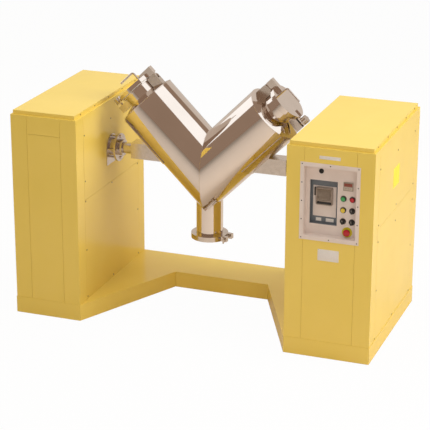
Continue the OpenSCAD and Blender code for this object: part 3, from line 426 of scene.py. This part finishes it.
# Flat countersunk screws of the control bezel
bezelScrews = {"inset": 0.011, "rows": 5, "headRadius": 3.6 * mm, "proud": 0.3 * mm, "sides": 16}
low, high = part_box("control_bezel")
bezelFront = low.y
inX0, inX1 = low.x + bezelScrews["inset"], high.x - bezelScrews["inset"]
inZ0, inZ1 = low.z + bezelScrews["inset"], high.z - bezelScrews["inset"]
step = (inZ1 - inZ0) / (bezelScrews["rows"] - 1)
seats = [((x, bezelFront, inZ0 + i * step), (0, -1, 0))
         for x in (inX0, inX1) for i in range(bezelScrews["rows"])]
seats += [(((inX0 + inX1) / 2, bezelFront, z), (0, -1, 0)) for z in (inZ0, inZ1)]
r, h = bezelScrews["headRadius"], bezelScrews["proud"]
bezelHead = turnedMesh([(0, 0), (r, 0), (0.9 * r, h), (0.4 * r, h), (0.4 * r, 0.2 * h), (0, 0.2 * h)],
                       bezelScrews["sides"])
scatter("bezelScrewHeads", bezelHead, seats, "frame", black)
print("screws set")

# Bare plates and small fittings on the right cabinet's front and in the recess
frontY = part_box("right_front_panels")[0].y
displayProud = 6 * mm
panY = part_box("display")[0].y + displayProud  # the pan's front face
plateLook = {"thick": 1.0 * mm, "edge": 0.4 * mm, "rivet": 1.6 * mm, "rivetInset": 4 * mm, "rivetSides": 10,
             "singleRow": 30 * mm}


def plate(work, x0, x1, z0, z1, y):
    bevelBox(work, (x0, y - plateLook["thick"], z0), (x1, y, z1), plateLook["edge"])


# The upper strip and the plate below the bezel, each as x from and to, z from and to
barePlates = ((0.786, 0.907, 1.190, 1.209), (0.789, 0.912, 0.594, 0.662))
work = bmesh.new()
for x0, x1, z0, z1 in barePlates:
    plate(work, x0, x1, z0, z1, frontY)
finishMesh("barePlates", toMesh(work), "frame", signPlastic)

# Bare yellow label on the right cabinet's outer side
sideLabel = {"y": (-0.087, 0.045), "z": (0.920, 1.039), "sunk": 0.2 * mm, "proud": 0.5 * mm, "edge": 0.2 * mm}
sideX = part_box("right_outer_panels")[1].x
work = bmesh.new()
bevelBox(work, (sideX - sideLabel["sunk"], sideLabel["y"][0], sideLabel["z"][0]),
         (sideX + sideLabel["proud"], sideLabel["y"][1], sideLabel["z"][1]), sideLabel["edge"], 1)
finishMesh("sideLabel", toMesh(work), "frame", labelYellow)

# Rivets: one at each end of the strip, four on the plate
inset = plateLook["rivetInset"]
rivetSeats = [((x, frontY - plateLook["thick"], z), (0, -1, 0))
              for x0, x1, z0, z1 in barePlates for x in (x0 + inset, x1 - inset)
              for z in ((z0 + inset, z1 - inset) if z1 - z0 > plateLook["singleRow"] else ((z0 + z1) / 2,))]
r = plateLook["rivet"]
rivetHead = turnedMesh([(0, 0), (r, 0), (0.8 * r, 0.4 * r), (0, 0.6 * r)], plateLook["rivetSides"])
scatter("plateRivets", rivetHead, rivetSeats, "frame", turned)

# Two blank labels under the instrument, and the blank round badge above it
linerLow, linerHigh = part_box("instrument_liner")
labelLook = {"columns": ((0.753, 0.785), (0.811, 0.857)), "rise": (9 * mm, 29 * mm), "linerSheet": 2 * mm}
work = bmesh.new()
for x0, x1 in labelLook["columns"]:
    plate(work, x0, x1, linerLow.z + labelLook["rise"][0], linerLow.z + labelLook["rise"][1],
          linerHigh.y - labelLook["linerSheet"])
finishMesh("blankLabels", toMesh(work), "frame", signPlastic)
toFront = Matrix.Rotation(math.radians(90), 4, "X")  # local z of a turned part points at the viewer
badge = {"x": 0.787, "z": 1.106, "radius": 14 * mm, "rim": 3 * mm, "side": 3 * mm, "high": 4 * mm,
         "face": 1.5 * mm, "sides": 40}


def faceOn(x, y, z):  # a turned part's seat at x, y, z, looking at the viewer
    return Matrix.Translation((x, y, z)) @ toFront


work = bmesh.new()
R, inner, face = badge["radius"], badge["radius"] - badge["rim"], badge["face"]
revolve(work, [(0, 0), (R, 0), (R, badge["side"]), (inner, badge["high"]), (inner, face), (0, face)],
        faceOn(badge["x"], panY, badge["z"]), badge["sides"])
finishMesh("blankBadge", toMesh(work), "frame", black)

# Push buttons and selectors: bright collars, white pointers, and the stop button's shroud
switchLook = {"bore": 16.6 * mm, "collar": 17.8 * mm, "collarThick": 1.8 * mm, "bulge": 1.2 * mm, "sides": 40}
shroudLook = {"bore": 16.7 * mm, "radius": 30 * mm, "thick": 1.6 * mm, "sides": 48}
pointerLook = {"half": 0.9 * mm, "proud": 0.3 * mm, "sunk": 1.0 * mm, "start": 2.0 * mm, "end": 1.0 * mm,
               "edge": 0.2 * mm}
selectors = ("selector_1", "selector_2", "selector_3")


def middle(node):
    low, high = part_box(node)
    return (low.x + high.x) / 2, (low.z + high.z) / 2


work = bmesh.new()
bore, R, t = switchLook["bore"], switchLook["collar"], switchLook["collarThick"]
for node in ("green_button", "red_button", "yellow_button") + selectors:
    x, z = middle(node)
    revolve(work, [(bore, 0), (R, 0), (R + switchLook["bulge"], t * 0.4), (R, t), (bore, t), (bore, 0)],
            faceOn(x, panY, z), switchLook["sides"])
finishMesh("switchRings", toMesh(work), "frame", satin)
work = bmesh.new()
x, z = middle("stop_button")
bore, R, t = shroudLook["bore"], shroudLook["radius"], shroudLook["thick"]
revolve(work, [(bore, 0), (R, 0), (R, t * 0.7), (R - t * 0.5, t), (bore, t), (bore, 0)],
        faceOn(x, panY, z), shroudLook["sides"])
finishMesh("stopShroud", toMesh(work), "frame", stopYellow)
for node in selectors:
    low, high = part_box(node)
    x, z = middle(node)
    work = bmesh.new()
    bevelBox(work, (x - pointerLook["half"], low.y - pointerLook["proud"], z + pointerLook["start"]),
             (x + pointerLook["half"], low.y + pointerLook["sunk"], high.z - pointerLook["end"]),
             pointerLook["edge"], 1)
    finishMesh(node + "Pointer", toMesh(work), node, signPlastic)

# Display: red filter over the digits' window and a pale strip with three keys below it
displayLook = {"side": 4 * mm, "end": 5 * mm, "proud": 0.6 * mm, "sunk": 0.5 * mm, "edge": 0.3 * mm,
               "keyPitch": 13 * mm, "keyRise": 1.5 * mm, "keySides": 20,
               "key": [(0, 0), (3.5 * mm, 0), (3.2 * mm, 1 * mm), (0, 1.2 * mm)]}
low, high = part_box("display")
x, z = middle("display")


def displayField(name, z0, z1, material):
    work = bmesh.new()
    bevelBox(work, (low.x + displayLook["side"], low.y - displayLook["proud"], z0),
             (high.x - displayLook["side"], low.y + displayLook["sunk"], z1), displayLook["edge"])
    finishMesh(name, toMesh(work), "frame", material)


displayField("displayWindow", z + 1 * mm, high.z - displayLook["end"], lampRed)
displayField("displayStrip", low.z + displayLook["end"], z - 2 * mm, chartPaper)
work = bmesh.new()
for k in (-1, 0, 1):
    seat = faceOn(x + k * displayLook["keyPitch"], low.y - displayLook["sunk"],
                  (low.z + z) / 2 + displayLook["keyRise"])
    revolve(work, displayLook["key"], seat, displayLook["keySides"])
finishMesh("displayKeys", toMesh(work), "frame", oliveFrame)

# Square instrument: raised rim, pale face behind acrylic, dark lower band with two knobs, side latch
instrument = {"margin": 4 * mm, "rim": 6 * mm, "band": 24 * mm, "rimProud": 4 * mm, "rimSunk": 1 * mm,
              "rimEdge": 1.5 * mm, "knobInset": 12 * mm, "knobRise": 13 * mm, "knobSides": 28,
              "knob": [(0, 0), (6 * mm, 0), (6 * mm, 5 * mm), (5 * mm, 6.5 * mm), (0, 7 * mm)]}
low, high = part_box("chart_instrument")
caseX0, caseX1, caseZ0, caseZ1, caseY = low.x, high.x, low.z, high.z, low.y
margin, rim = instrument["margin"], instrument["rim"]
bandZ = caseZ0 + instrument["band"]
outX0, outX1, outZ1 = caseX0 + margin, caseX1 - margin, caseZ1 - margin


def instrumentBox(work, x0, x1, z0, z1, depth, edge, segments=2):  # depth is y before and behind the case's face
    bevelBox(work, (x0, caseY + depth[0], z0), (x1, caseY + depth[1], z1), edge, segments)


work = bmesh.new()
rimDepth = (-instrument["rimProud"], instrument["rimSunk"])
for x0, x1, z0, z1 in ((outX0, outX0 + rim, bandZ, outZ1), (outX1 - rim, outX1, bandZ, outZ1),
                       (outX0, outX1, outZ1 - rim, outZ1), (outX0, outX1, bandZ, bandZ + rim)):
    instrumentBox(work, x0, x1, z0, z1, rimDepth, instrument["rimEdge"], 3)
finishMesh("instrumentRim", toMesh(work), "frame", beigePlastic)
inner = (outX0 + rim, outX1 - rim, bandZ + rim, outZ1 - rim)
work = bmesh.new()
instrumentBox(work, *inner, (-0.8 * mm, 0.5 * mm), 0.3 * mm)
finishMesh("instrumentFace", toMesh(work), "frame", chartPaper)
work = bmesh.new()
instrumentBox(work, *inner, (-3.0 * mm, -1.8 * mm), 0.2 * mm)
finishMesh("instrumentGlass", toMesh(work), "frame", acrylic)
work = bmesh.new()
knobX = (caseX0 + instrument["knobInset"], caseX1 - instrument["knobInset"])
instrumentBox(work, *knobX, caseZ0 + 6 * mm, bandZ - 3 * mm, (-1.0 * mm, 0.5 * mm), 0.4 * mm)
for x in knobX:
    revolve(work, instrument["knob"], faceOn(x, caseY, caseZ0 + instrument["knobRise"]), instrument["knobSides"])
instrumentBox(work, caseX0 - 9.5 * mm, caseX0 - 1.5 * mm, caseZ1 - 52 * mm, caseZ1 - 4 * mm,
              (2 * mm, 12 * mm), 1.5 * mm, 3)
finishMesh("instrumentKnobs", toMesh(work), "frame", darkPlastic)
print("controls dressed")

# Weld seam on the shell along the mitre's ellipse, ground nearly flush and open at the nozzle
shellX = sum(c.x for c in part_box("trunnion_shafts")) / 2
legRadius = 0.181
crossZ = 0.8697
weldLook = {"bead": 1.3 * mm, "steps": 160, "sides": 8, "nozzleGap": 1.03}


def tube(work, points, radius, sides):  # an open bead with flat ends
    count = len(points)
    rings = []
    for i, p in enumerate(points):
        ahead = (points[(i + 1) % count] - points[i - 1]).normalized()
        side = ahead.cross(Vector((1, 0, 0))).normalized()
        up = ahead.cross(side)
        rings.append([work.verts.new(p + radius * (math.cos(a) * side + math.sin(a) * up))
                      for a in (2 * math.pi * k / sides for k in range(sides))])
    for a, b in zip(rings, rings[1:]):
        for k in range(sides):
            work.faces.new([a[k], a[(k + 1) % sides], b[(k + 1) % sides], b[k]])
    work.faces.new(rings[0])
    work.faces.new(list(reversed(rings[-1])))


work = bmesh.new()
low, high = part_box("discharge_nozzle")
gapAngle = math.asin((high.x - low.x) / 2 / legRadius) * weldLook["nozzleGap"]
points = []
for i in range(weldLook["steps"] + 1):
    a = gapAngle + i * (2 * math.pi - 2 * gapAngle) / weldLook["steps"]
    points.append(Vector((shellX, legRadius * math.sin(a), crossZ - math.sqrt(2) * legRadius * math.cos(a))))
tube(work, points, weldLook["bead"], weldLook["sides"])
finishMesh("mitreWeld", toMesh(work), "shell", mirror)
print("welds laid")

# Studio: white ground that keeps a faint shadow, and brown, beige and white screens that only polished metal sees
studio = {"floorSize": 60.0, "floorColor": "#E2D5C8", "floorWhite": 0.97, "screenRadius": 9.0,
          "screenHeight": 0.9, "screenSteps": 32, "ambient": 0.36, "ambientColor": "#FFF9F2"}


def floorPiece():
    work = bmesh.new()
    bmesh.ops.create_grid(work, x_segments=1, y_segments=1, size=studio["floorSize"] / 2)
    mesh = toMesh(work, False)
    floor = bpy.data.objects.new("studioFloor", mesh)
    scene.collection.objects.link(floor)
    material, tree, shader, place = newMaterial("paleStudioFloor", studio["floorColor"], 0, 0.9)
    shader.inputs["Specular IOR Level"].default_value = 0.0
    glow = addNode(tree, "ShaderNodeEmission", {"Color": (1, 1, 1, 1), "Strength": 1.0})
    path = addNode(tree, "ShaderNodeLightPath")
    share = addNode(tree, "ShaderNodeMath", {0: path.outputs["Is Camera Ray"], 1: studio["floorWhite"]},
                    operation="MULTIPLY")
    mix = addNode(tree, "ShaderNodeMixShader", {0: share.outputs[0], 1: shader.outputs[0], 2: glow.outputs[0]})
    tree.links.new(mix.outputs[0], tree.nodes["Material Output"].inputs["Surface"])
    mesh.materials.append(material)
    floor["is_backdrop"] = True


def flag(name, azimuth0, azimuth1, elevation0, elevation1, color, strength):  # a screen's angles from the front
    work = bmesh.new()
    centre = Vector((shellX, 0, studio["screenHeight"]))
    steps = studio["screenSteps"]
    rows = []
    for e in (elevation0, elevation1):
        rows.append([])
        reach = math.cos(math.radians(e)) * studio["screenRadius"]
        rise = math.sin(math.radians(e)) * studio["screenRadius"]
        for k in range(steps + 1):
            a = math.radians(azimuth0 + k * (azimuth1 - azimuth0) / steps)
            rows[-1].append(work.verts.new(centre + Vector((math.sin(a) * reach, -math.cos(a) * reach, rise))))
    for k in range(steps):
        work.faces.new([rows[0][k], rows[0][k + 1], rows[1][k + 1], rows[1][k]])
    mesh = toMesh(work, False)
    piece = bpy.data.objects.new(name, mesh)
    scene.collection.objects.link(piece)
    material = bpy.data.materials.new(name + "Cloth")
    material.use_nodes = True
    tree = material.node_tree
    tree.nodes.remove(tree.nodes["Principled BSDF"])
    glow = addNode(tree, "ShaderNodeEmission", {"Color": linear(color), "Strength": strength})
    tree.links.new(glow.outputs[0], tree.nodes["Material Output"].inputs["Surface"])
    mesh.materials.append(material)
    piece.visible_camera = False
    piece.visible_diffuse = False
    piece.visible_shadow = False
    piece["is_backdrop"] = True


floorPiece()
cloth = {"brown": ("#9A8270", 1.0), "beige": ("#D9CDC2", 1.0), "white": ("#FFFFFF", 1.25)}
screens = {"frontFlag": (-79, 57, -3, 60, "brown"), "rightScreen": (57, 129, 20, 60, "white"),
           "rightFlag": (57, 129, -3, 20, "brown"), "narrowFlag": (129, 155, -3, 60, "brown"),
           "backFlag": (155, 235, -3, 60, "beige"), "leftScreen": (-125, -79, 4, 60, "white"),
           "capFlag": (-180, 180, 60, 89, "beige")}
for name, (a0, a1, e0, e1, kind) in screens.items():
    flag(name, a0, a1, e0, e1, *cloth[kind])


def lamp(name, place, aim, size, power):
    data = bpy.data.lights.new(name, "AREA")
    data.shape = "RECTANGLE"
    data.size, data.size_y = size
    data.energy = power
    lampObject = bpy.data.objects.new(name, data)
    scene.collection.objects.link(lampObject)
    lampObject.location = place
    lampObject.visible_glossy = False
    lampObject.rotation_euler = (Vector(aim) - Vector(place)).to_track_quat("-Z", "Y").to_euler()


lamp("topSoftbox", (-0.4, -0.5, 6.0), (-0.2, 0, 0.8), (6, 4), 200)
lamp("rightSoftbox", (6.6, 0.4, 4.3), (-0.4, 0, 0.8), (4, 3), 315)
lamp("frontFill", (4.0, -7.6, 3.0), (-0.3, 0, 0.8), (4, 3), 105)

world = bpy.data.worlds.new("studioWorld")
scene.world = world
world.use_nodes = True
tree = world.node_tree
tree.nodes.clear()
path = addNode(tree, "ShaderNodeLightPath")
seen = addNode(tree, "ShaderNodeMath", {0: path.outputs["Is Camera Ray"], 1: path.outputs["Is Glossy Ray"]},
               operation="MAXIMUM")
seen = addNode(tree, "ShaderNodeMath", {0: seen.outputs[0], 1: path.outputs["Is Transmission Ray"]},
               operation="MAXIMUM")
ambient = addNode(tree, "ShaderNodeBackground",
                  {"Color": linear(studio["ambientColor"]), "Strength": studio["ambient"]})
backdrop = addNode(tree, "ShaderNodeBackground", {"Color": (1, 1, 1, 1), "Strength": 1.0})
mix = addNode(tree, "ShaderNodeMixShader", {0: seen.outputs[0], 1: ambient.outputs[0], 2: backdrop.outputs[0]})
addNode(tree, "ShaderNodeOutputWorld", {"Surface": mix.outputs[0]})

scene.view_settings.view_transform = "Standard"

# Camera fitted to the photograph: place, three angles and the lens on a 36 mm sensor
cameraFit = {"place": (3.2725, -8.926, 3.980), "yaw": 20.195, "pitch": 19.602, "roll": 0.208, "lens": 139.93}
yaw, pitch, roll = (math.radians(cameraFit[k]) for k in ("yaw", "pitch", "roll"))
ahead = Vector((-math.sin(yaw) * math.cos(pitch), math.cos(yaw) * math.cos(pitch), -math.sin(pitch)))
right = Vector((math.cos(yaw), math.sin(yaw), 0))
up = right.cross(ahead)
right, up = math.cos(roll) * right + math.sin(roll) * up, math.cos(roll) * up - math.sin(roll) * right
cameraData = bpy.data.cameras.new("photoCamera")
cameraData.sensor_width = 36
cameraData.lens = cameraFit["lens"]
cameraData.clip_end = 200
camera = bpy.data.objects.new("photoCamera", cameraData)
scene.collection.objects.link(camera)
turnMatrix = Matrix((right, up, -ahead)).transposed().to_4x4()
camera.matrix_world = Matrix.Translation(cameraFit["place"]) @ turnMatrix
scene.camera = camera
print("studio ready")

low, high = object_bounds()
